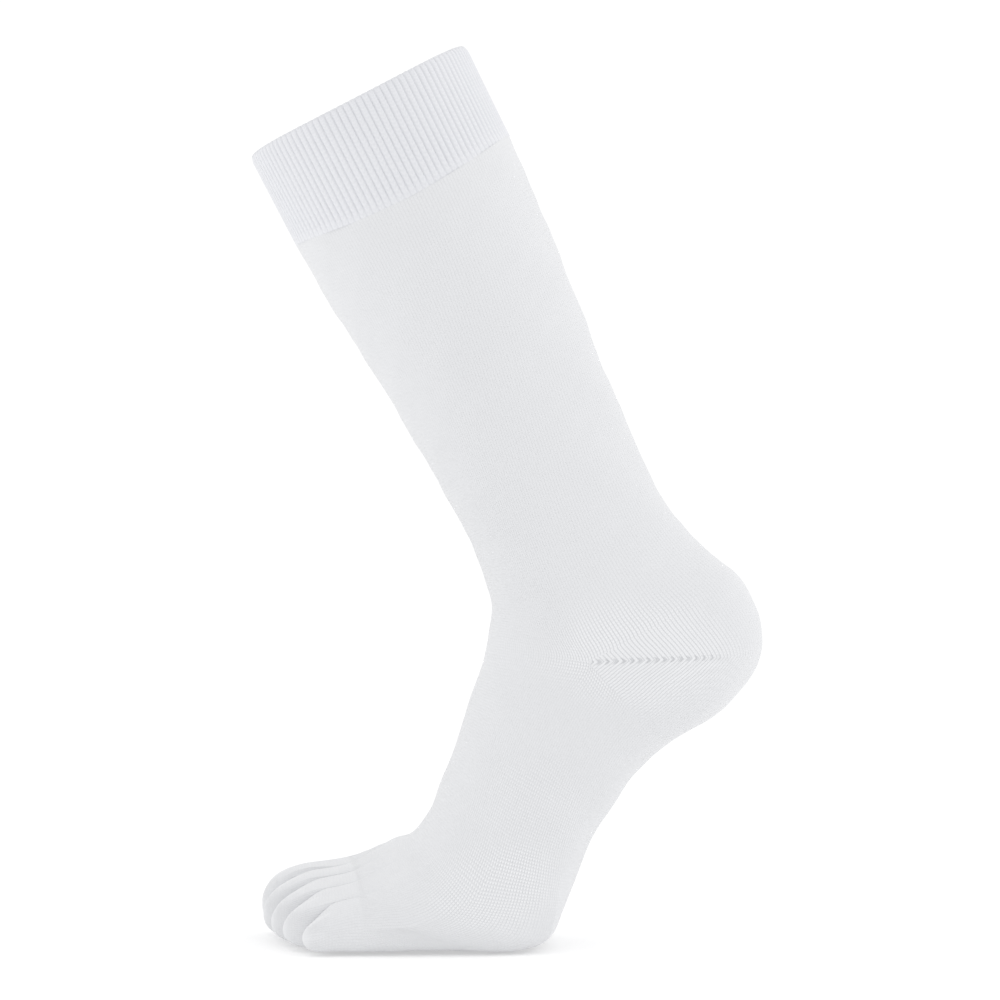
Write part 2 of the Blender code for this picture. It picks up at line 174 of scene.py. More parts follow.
def powered(values, power):
    """A sine or cosine raised to 2 / power, with its sign kept: the coordinate of a superellipse."""
    return np.sign(values) * np.abs(values) ** (2 / power)


SIDE_POINT = (CUFF_HEIGHT + LEG_LENGTH) * DOWN_LEG + SIDE_SHIFT * ANKLE_DEPTH * BACK_OF_LEG


def foot_point(forward, down):
    """A point in the mid plane, forward of the side points and a share of the drop below them."""
    return SIDE_POINT + np.array([-forward, -down * FOOT_DROP])


FLOOR_Z = foot_point(0, 1)[1]
TOE_LINE = foot_point(BALL_REACH, 0)[0]
print("side points at", SIDE_POINT.round(4), "floor at", round(float(FLOOR_Z), 4))


# %% Where the toes lie across the foot
PRESSED_ROUND = 4.4


def toe_cells():
    """Each toe with the middle and the half width of its cell in the row across the foot."""
    shares = sum(toe.width for toe in TOES)
    edge = -BALL_WIDTH / 2
    for toe in TOES:
        width = toe.width / shares * BALL_WIDTH
        yield toe, edge + width / 2, width / 2
        edge += width


def lobe(angles, middle_y, half_width, middle_z, above, below):
    """A toe's outline across it: a superellipse whose height differs above and below its middle. The
    toes press on each other, so the knit is a little squarer here than the solids are."""
    cos, sin = powered(np.cos(angles), PRESSED_ROUND), powered(np.sin(angles), PRESSED_ROUND)
    z = middle_z + np.where(sin > 0, above, below) * sin
    return np.column_stack((middle_y + half_width * cos, z))


def lobe_angles(toe):
    """The angles of a toe's upper arc, from the little toe's side to the big toe's side."""
    start = math.pi if toe is TOES[0] else math.pi - LOBE_EDGE
    end = 0.0 if toe is TOES[-1] else LOBE_EDGE
    return np.linspace(start, end, LOBE_STEPS + 1)


CLEFTS = np.array([middle_y - half_width for _, middle_y, half_width in toe_cells()][1:]) / (BALL_WIDTH / 2)
print("the toes part at these shares of the half width:", CLEFTS.round(3))


# %% The points of a course
WALK_POINTS = 1601


def arc_points(course, across, in_front, inset):
    """Points at these shares across the sock. Each arc's reach is (1 - turn^power)^(1/power), where
    turn is how far the point is from the ridge towards a side."""
    power = np.where(in_front, course.front_round, course.back_round)
    ridge = np.where(in_front, course.ridge, 0.0)
    turn = np.where(across > ridge, (across - ridge) / (1 - ridge), (ridge - across) / (1 + ridge))
    reach = (1 - np.clip(turn, 0, 1) ** power) ** (1 / power)
    front, back = course.front - course.side, course.back - course.side
    front = front * (1 - inset / np.linalg.norm(front))
    back = back * (1 - inset / np.linalg.norm(back))
    flat = reach[:, None] * np.where(in_front[:, None], front, back)
    flat = course.side + flat + course.sag * across[:, None] ** 2 * DOWN_LEG
    return np.column_stack((flat[:, 0], (course.half_width - inset) * across, flat[:, 1]))


def columns_across(course, in_front, count):
    """Where the columns of an arc lie across the sock, from the little toe's side to the big toe's.
    The arc is walked in fine steps, and the walk is read at even distances. As the spread rises to 1
    the distances are even over each toe instead, so that every cleft falls on a column."""
    angles = np.linspace(-math.pi / 2, math.pi / 2, WALK_POINTS)
    power = course.front_round if in_front else course.back_round
    across = powered(np.sin(angles), power)
    points = arc_points(course, across, np.full(len(across), in_front), 0.0)
    walked = np.concatenate(([0.0], np.cumsum(np.linalg.norm(np.diff(points, axis=0), axis=1))))
    steps = np.linspace(0, len(TOES), count + 1)
    even = steps / len(TOES) * walked[-1]
    at_clefts = np.interp(CLEFTS, across, walked)
    by_toe = np.interp(steps, np.arange(len(TOES) + 1), np.concatenate(([0.0], at_clefts, [walked[-1]])))
    return np.interp(swell(course.spread, even, by_toe), walked, across)


def around(course, inset, quarter=QUARTER):
    """A course's loop. Column 0 is in front, a quarter on is the little toe's side, half is behind."""
    front, back = columns_across(course, True, 2 * quarter), columns_across(course, False, 2 * quarter)
    across = np.concatenate((front[quarter::-1], back[1:-1], front[:quarter:-1]))
    index = np.arange(4 * quarter)
    in_front = (index <= quarter) | (index >= 3 * quarter)
    return arc_points(course, across, in_front, inset)


def heel_course(row):
    """A course of the heel pocket, turned about the side points."""
    angle = HEEL_RISE - row.turn * HEEL_TURN
    back = SIDE_POINT + row.reach * HEEL_REACH * np.array([math.cos(angle), math.sin(angle)])
    front = SIDE_POINT + np.array([-INSTEP_REACH, INSTEP_RISE])
    return Course(front, SIDE_POINT, back, HEEL_WIDTH / 2, 0.0, 0.0, CALF_ROUND, HEEL_ROUND, 0.0)


def leg_course(row):
    """A course of the leg, whose front point runs ahead of its side points as the ankle nears."""
    heel = heel_course(HEEL_ROWS[0])
    heel_depth = abs((heel.back - heel.front) @ BACK_OF_LEG)
    lead = row.lead * (heel.side - heel.front) @ DOWN_LEG
    depth = swell(row.calf, ANKLE_DEPTH, CUFF_DEPTH) + row.heel * (heel_depth - ANKLE_DEPTH)
    width = swell(row.width, ANKLE_WIDTH, CUFF_WIDTH)
    along = (CUFF_HEIGHT + row.along * LEG_LENGTH) * DOWN_LEG
    middle = along + row.centre * LEG_LENGTH * BACK_OF_LEG
    front = middle - depth / 2 * BACK_OF_LEG - lead * DOWN_LEG
    back = middle + depth / 2 * BACK_OF_LEG
    side = along + smooth(row.along) * SIDE_SHIFT * ANKLE_DEPTH * BACK_OF_LEG
    back_round = swell(row.heel, CALF_ROUND, HEEL_ROUND)
    sag = CUFF_SAG * (1 - row.along) ** 2
    return Course(front, side, back, width / 2, 0.0, 0.0, CALF_ROUND, back_round, sag)


def cuff_course(share):
    """A course of the ribbed band, from the rim at 0 to the leg at 1."""
    last = leg_course(LEG_ROWS[0])
    depth = swell(share, CUFF_DEPTH, np.linalg.norm(last.back - last.front))
    middle = share * (last.front + last.back) / 2
    reach = depth / 2 * BACK_OF_LEG
    half_width = swell(share, CUFF_WIDTH / 2, last.half_width)
    sag = swell(share, RIM_SAG, CUFF_SAG)
    return Course(middle - reach, middle, middle + reach, half_width, 0.0, 0.0, CALF_ROUND, CALF_ROUND, sag)


def foot_course(row):
    """A course of the foot. What joins the first one to heel and instep fades out towards the ball."""
    joint = heel_course(HEEL_ROWS[-1])
    first = FOOT_ROWS[0]
    fade = (1 - row.side_z / FOOT_ROWS[-1].side_z) ** 2
    front = foot_point(swell(row.front_x, INSTEP_REACH, BALL_REACH), row.front_z)
    front = front + fade * (joint.front - foot_point(INSTEP_REACH, first.front_z))
    side = foot_point(row.side_x * BALL_REACH, row.side_z)
    back = foot_point(row.back_x * BALL_REACH, row.back_z)
    back = back + fade * (joint.back - foot_point(first.back_x * BALL_REACH, first.back_z))
    width = swell(row.width, HEEL_WIDTH, BALL_WIDTH)
    sole_round = swell(row.width, HEEL_ROUND, SOLE_ROUND)
    return Course(front, side, back, width / 2, row.ridge, row.width, CALF_ROUND, sole_round, 0.0)


CLEFT_DEPTH = 0.0008
CLEFT_DEPTH_BELOW = 0.0010
CLEFT_START, CLEFT_START_BELOW = 0.50, 0.78


def foot_loop(row, inset):
    """A course of the foot. As lobed rises it slants to the toes. It sinks in between the toes by the
    fourth power of the distance from a toe's middle, above and below from a little behind them on."""
    loop = around(foot_course(row), inset)
    loop[:, 0] -= TOE_LINE_SLANT * loop[:, 1] * row.lobed
    index = np.arange(COLUMNS)
    above = (index <= QUARTER) | (index >= 3 * QUARTER)
    steps = np.where(above, (QUARTER - index) % COLUMNS, index - QUARTER) / LOBE_STEPS
    off_middle = np.abs(steps % 1.0 - 0.5) * 2
    inner = (steps > 0.5) & (steps < len(TOES) - 0.5)
    start_above = smooth((row.side_x - CLEFT_START) / (1 - CLEFT_START))
    start_below = smooth((row.back_x - CLEFT_START_BELOW) / (1 - CLEFT_START_BELOW))
    sink = np.where(above, -CLEFT_DEPTH * start_above, CLEFT_DEPTH_BELOW * start_below)
    loop[:, 2] += sink * np.where(inner, off_middle**4, 0.0)
    return loop


MEASURED = {"rim": cuff_course(0), "ankle": leg_course(LEG_ROWS[6]), "ball": foot_course(FOOT_ROWS[8])}
for name, course in MEASURED.items():
    loop = around(course, 0.0)
    girth = np.linalg.norm(loop - np.roll(loop, 1, axis=0), axis=1).sum()
    print(name, "girth in mm:", round(1000 * girth))

# %% [markdown]
# ## A smooth skin through the rows
# The solids run straight from row to row. The real knit is stretched, so it runs in smooth curves. A
# cubic through the same rows gives that: each column is a Hermite curve whose slope at a row is that
# of the parabola through the row and its two neighbours. The rows of the heel belong only to the back
# of the sock, so there are two chains of rows, one that takes them and one that skips them. Near the
# side points the slopes blend from one chain to the other, and so the skin has no step there.


# %% Curves through rows of points
def distances(loops, columns=slice(None)):
    """The mean length of the way from each loop to the next, over some columns."""
    return np.linalg.norm(np.diff(loops[:, columns], axis=0), axis=2).mean(axis=1)


def slopes(loops, steps):
    """The slope at each loop: of the parabola through its neighbours, and one-sided at the ends."""
    rates = np.diff(loops, axis=0) / steps[:, None, None]
    before, after = steps[:-1, None, None], steps[1:, None, None]
    inner = (rates[:-1] * after + rates[1:] * before) / (before + after)
    return np.concatenate((rates[:1], inner, rates[-1:]))


def flow(loops, tangents, steps, rows):
    """Points of the cubic Hermite curves down the columns, at this many evenly spaced rows:
    (1 + 2t)(1 - t)^2 a + t(1 - t)^2 da + t^2(3 - 2t) b + t^2(t - 1) db between two loops a and b.
    The second result is the distance of each row from the first loop."""
    stations = np.concatenate(([0.0], np.cumsum(steps)))
    at = np.linspace(0, stations[-1], rows)
    span = np.clip(np.searchsorted(stations, at, side="right") - 1, 0, len(steps) - 1)
    t = ((at - stations[span]) / steps[span])[:, None, None]
    length = steps[span][:, None, None]
    start = (1 + 2 * t) * (1 - t) ** 2 * loops[span] + t * (1 - t) ** 2 * length * tangents[span]
    end = t * t * (3 - 2 * t) * loops[span + 1] + t * t * (t - 1) * length * tangents[span + 1]
    return start + end, at


# %% The two chains of rows
Skin = namedtuple("Skin", "leg leg_slopes leg_steps heel heel_slopes heel_steps foot foot_slopes foot_steps")
BACK = np.arange(QUARTER, 3 * QUARTER + 1)
FRONT = np.r_[0 : QUARTER + 1, 3 * QUARTER : COLUMNS]
HEEL_BLEND = 0.3
AHEAD = 0.25
ROOT_TURN = 0.25


def toes_ahead(last):
    """Where the foot's last course would be a little way down the toes, for its slope there."""
    move, shared = np.zeros((COLUMNS, 3)), np.zeros((COLUMNS, 1))
    for index, toe in enumerate(TOES):
        lift = powered(np.sin(lobe_angles(toe)), PRESSED_ROUND)
        middle = toe.tip_middle - toe.middle
        above = (toe.tip_top - toe.tip_middle) - (toe.top - toe.middle)
        ones = np.ones(LOBE_STEPS + 1)
        sides = np.column_stack((-ones * toe.length * TOE_REACH, ones * toe.spread * BALL_WIDTH))
        over = (QUARTER - LOBE_STEPS * index - np.arange(LOBE_STEPS + 1)) % COLUMNS
        under = QUARTER + LOBE_STEPS * index + np.arange(LOBE_STEPS + 1)
        move[over] += np.column_stack((sides, (middle + above * lift) * TOE_HEIGHT))
        move[under] += np.column_stack((sides, middle * (1 - lift) * TOE_HEIGHT))
        shared[over] += 1
        shared[under] += 1
    return last + AHEAD * move / shared


FROM_SIDE = np.abs(np.arange(COLUMNS) % (2 * QUARTER) - QUARTER)
SIDE_SOFTNESS = 8
SOFT_SHARE, SOFT_FADE = 0.3, 0.5
SLIM_FROM, SLIM_FADE = 0.1, 0.5
WIDE_FROM = 0.5


def bell_mean(values, spread):
    """The running mean of a loop of values, weighted by a bell curve."""
    shifts = range(-3 * spread, 3 * spread + 1)
    bell = np.exp(-((np.array(shifts) / spread) ** 2) / 2)
    return sum(weight * np.roll(values, shift, axis=-1) for shift, weight in zip(shifts, bell / bell.sum()))


def softened(loops):
    """The loops with the width of the sock made smoother near its two sides, where the front and the
    back arc meet: a running mean over the columns, weighted by a bell curve. Only y changes, and the
    side points of all loops stay together."""
    out = loops.copy()
    mean = bell_mean(loops[..., 1], SIDE_SOFTNESS)
    out[..., 1] += (mean - loops[..., 1]) * (1 - smooth((FROM_SIDE / QUARTER - SOFT_SHARE) / SOFT_FADE))
    return out


def make_skin(inset):
    """All rows of the leg, the heel and the foot with their slopes. The rows are softened where the sock
    is slim, which is neither at the cuff nor at the ball. In the blend, weight is 0 at the side points,
    where front and back must agree, and 1 from a share of the way to the back. The toes' way on is only
    a part of the slope at the foot's end, or the skin would dip there."""
    before = around(cuff_course(0.5), inset)
    leg = np.array([around(leg_course(row), inset) for row in LEG_ROWS])
    heel = np.array([around(heel_course(row), inset) for row in HEEL_ROWS])
    foot = np.array([foot_loop(row, inset) for row in FOOT_ROWS])
    slim = smooth((np.array([row.along for row in LEG_ROWS]) - SLIM_FROM) / SLIM_FADE)[:, None]
    leg[..., 1] = swell(slim, leg[..., 1], softened(leg)[..., 1])
    heel = softened(heel)
    wide = smooth(np.array([row.width for row in FOOT_ROWS]) / WIDE_FROM)[:, None]
    foot[..., 1] = swell(wide, softened(foot)[..., 1], foot[..., 1])
    heel[:, [QUARTER, 3 * QUARTER]] = heel[0, [QUARTER, 3 * QUARTER]]
    foot[0, FRONT] = heel[0, FRONT]
    foot[0, BACK] = heel[-1, BACK]
    leg = np.concatenate((leg, heel[:1]))

    share = np.abs(np.arange(COLUMNS) - 2 * QUARTER) / QUARTER
    weight = smooth((1 - share) / HEEL_BLEND)[:, None]
    leg_steps, foot_steps = distances(leg), distances(foot)
    heel_steps = distances(heel, BACK)

    ahead = toes_ahead(foot[-1])
    first = np.linalg.norm(leg[0] - before, axis=1).mean()
    last = np.linalg.norm(ahead - foot[-1], axis=1).mean()
    long_chain = np.concatenate(([before], leg, heel[1:], foot[1:], [ahead]))
    long_steps = np.concatenate(([first], leg_steps, heel_steps, foot_steps, [last]))
    along = slopes(long_chain, long_steps)
    short_chain = np.concatenate(([before], leg[:-1], foot, [ahead]))
    skipped = slopes(short_chain, np.concatenate(([first], leg_steps, foot_steps, [last])))

    legs, heels = len(leg), len(heel)
    leg_slopes = along[1 : 1 + legs].copy()
    foot_slopes = along[legs + heels - 1 : -1].copy()
    chord = np.linalg.norm(foot[-1] - foot[-2], axis=1, keepdims=True)
    onwards = (ahead - foot[-1]) / np.linalg.norm(ahead - foot[-1], axis=1, keepdims=True)
    way = swell(ROOT_TURN, (foot[-1] - foot[-2]) / chord, onwards)
    foot_slopes[-1] = way / np.linalg.norm(way, axis=1, keepdims=True) * chord / foot_steps[-1]
    leg_slopes[-1] = swell(weight, skipped[legs], along[legs])
    foot_slopes[0] = swell(weight, skipped[legs], along[legs + heels - 1])
    heel_slopes = along[legs : legs + heels].copy()
    own = slopes(heel, heel_steps)
    heel_slopes[0] = swell(weight, own[0], heel_slopes[0])
    heel_slopes[-1] = swell(weight, own[-1], heel_slopes[-1])
    return Skin(leg, leg_slopes, leg_steps, heel, heel_slopes, heel_steps, foot, foot_slopes, foot_steps)


outside, inside = make_skin(0.0), make_skin(KNIT_WALL)
for part in ("leg", "heel", "foot"):
    print(part, "runs", round(1000 * getattr(outside, part + "_steps").sum()), "mm")

# %% [markdown]
# ## Unevenness
# A worn sock is never quite smooth: the yarn pulls a little more here and there. A few long waves of up
# to a fifth of a millimetre, laid through space, break the evenness up, and since they depend only on
# the place, neighbouring pieces still meet.


# %% Waves through space
WAVES = (
    # direction and number of waves per metre, height in metres, and where each wave starts
    ((21.0, 13.0, 31.0), 0.00018, 0.3),
    ((-37.0, 24.0, 17.0), 0.00014, 1.9),
    ((12.0, -46.0, 41.0), 0.00010, 4.1),
    ((67.0, 31.0, -52.0), 0.00007, 2.6),
    ((-83.0, 58.0, 61.0), 0.00004, 5.2),
)


def uneven(points):
    """How far each point is moved out: a sum of sines of the place."""
    waves = [height * np.sin(2 * math.pi * points @ np.array(way) + start) for way, height, start in WAVES]
    return np.sum(waves, axis=0)


print("unevenness up to", sum(round(1000 * wave[1], 2) for wave in WAVES), "mm")

# %% [markdown]
# ## From grids to meshes
# Each piece is an outer and an inner grid of points, joined along their open edges, so it is a closed
# wall. The faces and their UVs are index sums on whole arrays. A column of UVs more than points
# closes the pattern round the tube. The rims are marked sharp, so that the light on the outer skin
# runs on from piece to piece.


# %% Grids to meshes
def grid_corners(rows, columns, around_it):
    """Row and column of the four corners of each face, wound to face out of the sock."""
    across = np.arange(columns if around_it else columns - 1)
    row, column = np.meshgrid(np.arange(rows - 1), across, indexing="ij")
    row, column = row.ravel(), column.ravel()
    corner_columns = np.stack((column, column, column + 1, column + 1), axis=1)
    return np.stack((row, row + 1, row + 1, row), axis=1), corner_columns


def grid_normals(points, around_it):
    """Unit normals of a grid, from the differences of its neighbours down and around."""
    if around_it:
        across = np.roll(points, -1, axis=1) - np.roll(points, 1, axis=1)
    else:
        across = np.gradient(points, axis=1)
    normal = np.cross(np.gradient(points, axis=0), across)
    return normal / np.maximum(np.linalg.norm(normal, axis=2, keepdims=True), 1e-12)


def add_wall(name, outer, inner, outer_uv, inner_uv, around_it, more_uv=None):
    """A closed wall from two grids with the same columns. Rims join their first rows and their last
    rows. An open grid needs none along its sides, because each side is a single point here."""
    columns = outer.shape[1]
    start = outer.shape[0] * columns
    points = np.concatenate((outer.reshape(-1, 3), inner.reshape(-1, 3)))
    faces, corners = [], []
    uvs = (outer_uv, inner_uv)
    for index, grid in enumerate((outer, inner)):
        rows, sides = grid_corners(grid.shape[0], columns, around_it)
        face = index * start + rows * columns + sides % columns
        uv = uvs[index][rows, sides]
        faces.append(face[:, ::-1] if index else face)
        corners.append(uv[:, ::-1] if index else uv)
    here = np.arange(columns if around_it else columns - 1)
    after = (here + 1) % columns
    ends = ((0, start, 0), (start - columns, len(points) - columns, -1))
    for out_row, in_row, row in ends:
        strip = np.stack((out_row + here, out_row + after, in_row + after, in_row + here), axis=1)
        uv = outer_uv[row][np.stack((here, here + 1, here + 1, here), axis=1)]
        faces.append(strip if row == 0 else strip[:, ::-1])
        corners.append(uv if row == 0 else uv[:, ::-1])
    faces, corners = np.concatenate(faces), np.concatenate(corners)
    mesh = bpy.data.meshes.new(name)
    mesh.from_pydata(points, [], faces.tolist())
    mesh.uv_layers.new(name="stitch").data.foreach_set("uv", corners.astype(np.float32).ravel())
    if more_uv is not None:
        extra = np.ones((len(faces), 4, 2), np.float32)
        rows, sides = grid_corners(outer.shape[0], columns, around_it)
        extra[: len(rows)] = more_uv[rows, sides]
        mesh.uv_layers.new(name="gore").data.foreach_set("uv", extra.ravel())
    # Each rim's points share a label, so an edge along a rim has the same label at both of its ends.
    ring = np.zeros(len(points), np.int32)
    for label, first in enumerate((0, start - columns, start, len(points) - columns), start=1):
        ring[first : first + columns] = label
    edges = np.empty(2 * len(mesh.edges), np.int32)
    mesh.edges.foreach_get("vertices", edges)
    edges = ring[edges.reshape(-1, 2)]
    sharp = (edges[:, 0] == edges[:, 1]) & (edges[:, 0] > 0)
    mesh.attributes.new("sharp_edge", "BOOLEAN", "EDGE").data.foreach_set("value", sharp)
    return mesh


def show_piece(name, mesh, node, material):
    """Puts a mesh into the scene in place of a CAD node. Points that coincide are merged first."""
    work = bmesh.new()
    work.from_mesh(mesh)
    bmesh.ops.remove_doubles(work, verts=work.verts, dist=1e-6)
    work.to_mesh(mesh)
    work.free()
    mesh.shade_smooth()
    mesh.materials.append(material)
    piece = bpy.data.objects.new(name, mesh)
    bpy.context.scene.collection.objects.link(piece)
    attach(piece, "root")
    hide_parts(node)
    print(name, "has", len(mesh.polygons), "faces")


# %% [markdown]
# ## Shader expressions
# A stitch is far too small to model. It is drawn by maths on the piece's own UV map, where one unit is
# one wale across and one course down. The class below wraps a socket, so that such maths can be
# written as a Python expression, and each operator adds one Math node.


# %% A socket that can be used in an expression
class Wire:
    def __init__(self, socket):
        self.socket = socket
        self.tree = socket.id_data

    @staticmethod
    def node(tree, kind, settings, inputs, output=0):
        """Adds a node of any type: first its settings, then the values or links of its sockets."""
        made = tree.nodes.new(kind)
        for setting, value in settings.items():
            setattr(made, setting, value)
        for key, value in inputs.items():
            if isinstance(value, Wire):
                tree.links.new(value.socket, made.inputs[key])
            else:
                made.inputs[key].default_value = value
        return Wire(made.outputs[output])

    def maths(self, operation, *values):
        inputs = dict(enumerate((self, *values)))
        return Wire.node(self.tree, "ShaderNodeMath", {"operation": operation}, inputs)

    def __add__(self, other):
        return self.maths("ADD", other)

    def __sub__(self, other):
        return self.maths("SUBTRACT", other)

    def __mul__(self, other):
        return self.maths("MULTIPLY", other)

    def __truediv__(self, other):
        return self.maths("DIVIDE", other)

    def __pow__(self, other):
        return self.maths("POWER", other)

    def __rsub__(self, other):
        return Wire.node(self.tree, "ShaderNodeMath", {"operation": "SUBTRACT"}, {0: other, 1: self})

    __radd__ = __add__
    __rmul__ = __mul__

    def fraction(self):
        return self.maths("FRACT")

    def size(self):
        return self.maths("ABSOLUTE")

    def ramp(self, low, high):
        """0 below low, 1 above high and smooth between them."""
        inputs = {"Value": self, "From Min": low, "From Max": high}
        return Wire.node(self.tree, "ShaderNodeMapRange", {"interpolation_type": "SMOOTHSTEP"}, inputs)


print("reflected operators:", [name for name in vars(Wire) if name.startswith("__r")])


# %% [markdown]
# ## The knit's finish
# Plain knit is rows of small V's. In each wale a V's two legs run from its point in the middle up to the
# sides. So the height falls towards the border between two wales, and along the wale it swings with
# the course, later the further a point is from the middle. The same height paints shade into the
# colour of the hollows, where light is lost between the yarns. The stitches show most where the foot
# stretches the knit: at the heel and at the side of the ball. White cotton is matt, with a soft sheen from
# its fibres, and noises add the fluff, the slight unevenness of its white and the pull on the stitches.


# %% Knit material
COTTON = (0.852, 0.857, 0.871, 1.0)
# Painted shade: the colour that the hollows between the stitches darken to.
PAINTED_HOLLOW_SHADE = (0.56, 0.567, 0.586, 1.0)
# Painted shadow between the cuff's ribs, a little bluer than the painted shade of the plain knit.
PAINTED_RIB_SHADE = (0.555, 0.565, 0.61, 1.0)
SURFACE = {"Roughness": 0.92, "Specular IOR Level": 0.2, "Sheen Weight": 0.45, "Sheen Roughness": 0.55}
STITCH_DEPTH = 0.0004
BUMP_STRENGTH = 0.8
YARN_RELIEF, FLUFF_RELIEF = 0.4, 0.08
YARN_LEVEL = 0.7
MEAN_HEIGHT = 0.42
PULL_SCALE, PULL_ACROSS, PULL_DOWN = 160.0, 0.3, 0.4
FLUFF_SCALE, FLUFF_LIGHT = 2600.0, 0.06
CLOUD_SCALE, CLOUD_LIGHT = 38.0, 0.08
HOLE_DEPTH, HOLE_SHADE = 0.8, 0.55
TIP_FADE = (1.0, 7.0)
STRETCHED = 1.1
CALM_BEAT = 0.2
RAGGED_SCALE, RAGGED = 60.0, 0.5
STRETCH_EDGE = (0.45, 1.15)
STRETCHES = (
    # x and z of the middle, half width and half height, all in metres, and amount
    (0.1160, -0.2250, 0.042, 0.026, 1.0),
    (0.0530, -0.3190, 0.030, 0.020, 0.75),
    (0.0700, -0.2900, 0.026, 0.028, 0.45),
)
# contrast of the stitches at rest, slant of the V's legs in courses, dip inside the V, beat of the
# courses where the knit is stretched, and colour of the painted shade in the hollows
Finish = namedtuple("Finish", "contrast slant dip beat hollow")


def stitch_height(u, v, finish, beat):
    """About 1 on the yarn and 0 between the wales: (1 - c^3)(YARN_LEVEL + beat * cosine of the course)
    less dip * (1 - c)^4 in the middle of the V, where c is the distance from the wale's middle, up to 1
    at its sides. The slant sets the course back with c."""
    side = (u.fraction() - 0.5).size() * 2
    course = ((v + side * finish.slant) * (2 * math.pi)).maths("COSINE")
    dip = (1 - side) ** 4 * finish.dip
    return (1 - side**3) * (course * beat + YARN_LEVEL) - dip


def noise(place, scale, detail):
    """A noise around 0, between -0.5 and 0.5."""
    inputs = {"Vector": place, "Scale": scale, "Detail": detail}
    return Wire.node(place.tree, "ShaderNodeTexNoise", {}, inputs) - 0.5


def axis_of(vector, axis):
    return Wire.node(vector.tree, "ShaderNodeSeparateXYZ", {}, {0: vector}, axis)


def even_stretch(place):
    """The knit is equally tight all over the piece."""
    return 0.0


def worn_stretch(place):
    """The knit opens around the heel's gores and over the side of the ball of the foot. Each of the
    STRETCHES gives its amount in the middle of an ellipse in the side view, with a soft, ragged edge."""
    ragged = noise(place, RAGGED_SCALE, 2.0) * RAGGED
    x, z = axis_of(place, "X"), axis_of(place, "Z")
    total = 0.0
    for centre_x, centre_z, reach_x, reach_z, amount in STRETCHES:
        away = (((x - centre_x) / reach_x) ** 2 + ((z - centre_z) / reach_z) ** 2) ** 0.5
        total = (1 - (away + ragged).ramp(*STRETCH_EDGE)) * amount + total
    return total


def knit_material(name, finish, stretch, gore=False, tip=False):
    """Cotton whose colour goes from the finish's painted shade in the hollows to COTTON with the height of
    the stitch. Where the knit is stretched, the contrast of that painted shade rises from that of the finish
    to
    STRETCHED around the same mean, and the courses' beat goes from CALM_BEAT to the finish's. At a tip,
    where the wales run together, the stitches fade out."""
    material = bpy.data.materials.new(name)
    material.use_nodes = True
    tree = material.node_tree
    shader = tree.nodes["Principled BSDF"]
    stitch = Wire.node(tree, "ShaderNodeUVMap", {"uv_map": "stitch"}, {})
    place = Wire.node(tree, "ShaderNodeTexCoord", {}, {}, "Object")
    pull, fluff = noise(place, PULL_SCALE, 2.0), noise(place, FLUFF_SCALE, 2.0)
    cloud = noise(place, CLOUD_SCALE, 3.0)
    open_knit = stretch(place)
    contrast = open_knit * (STRETCHED - finish.contrast) + finish.contrast
    beat = open_knit * (finish.beat - CALM_BEAT) + CALM_BEAT
    wale, course = axis_of(stitch, "X") + pull * PULL_ACROSS, axis_of(stitch, "Y") + pull * PULL_DOWN
    height = stitch_height(wale, course, finish, beat)
    if tip:
        from_tip = axis_of(stitch, "Y").ramp(*TIP_FADE)
        height = (height - MEAN_HEIGHT) * from_tip + MEAN_HEIGHT
    # The colour's factor: painted shade in the stitches' hollows, weaker at the tips, plus random tone from
    # the cloud and the fluff.
    light = (height - MEAN_HEIGHT) * contrast + 0.5 + cloud * CLOUD_LIGHT + fluff * FLUFF_LIGHT
    if gore:
        hole = gore_holes(*gore_places(tree))
        height = height - hole * HOLE_DEPTH
        light = light - hole * HOLE_SHADE
    light = light.maths("MAXIMUM", 0.0).maths("MINIMUM", 1.0)
    # A Mix node's colours go in at its sockets 6 and 7 and come out at 2.
    shades = {"Factor": light, 6: finish.hollow, 7: COTTON}
    colour = Wire.node(tree, "ShaderNodeMix", {"data_type": "RGBA"}, shades, 2)
    relief = height * YARN_RELIEF + fluff * FLUFF_RELIEF
    inputs = {"Strength": BUMP_STRENGTH, "Distance": STITCH_DEPTH, "Height": relief}
    bump = Wire.node(tree, "ShaderNodeBump", {}, inputs, "Normal")
    tree.links.new(colour.socket, shader.inputs["Base Color"])
    tree.links.new(bump.socket, shader.inputs["Normal"])
    for quality, value in SURFACE.items():
        shader.inputs[quality].default_value = value
    return material


GORE_PITCH = 0.0033
GORE_START, GORE_END = 0.0005, 0.062
GORE_FADE_IN, GORE_FADE_OUT = 0.002, 0.02
HOLE_LEAN = 0.9
HOLE_EDGE = (0.10, 0.30)
HOLE_REACH = (0.0006, 0.0017)


def gore_places(tree):
    """Distance along the gore from the side point, and signed distance from it, in metres."""
    gore = Wire.node(tree, "ShaderNodeUVMap", {"uv_map": "gore"}, {})
    return axis_of(gore, "X"), axis_of(gore, "Y")


def gore_holes(along, away):
    """A row of small gaps like arrowheads: each lies where the course's phase, set back with the
    distance from the seam, is near its middle."""
    phase = ((along + away.size() * HOLE_LEAN) / GORE_PITCH).fraction()
    stripe = 1 - (phase - 0.5).size().ramp(*HOLE_EDGE)
    near = 1 - away.size().ramp(*HOLE_REACH)
    begun = along.ramp(GORE_START, GORE_START + GORE_FADE_IN)
    ended = along.ramp(GORE_END - GORE_FADE_OUT, GORE_END)
    return stripe * near * (begun * (1 - ended))


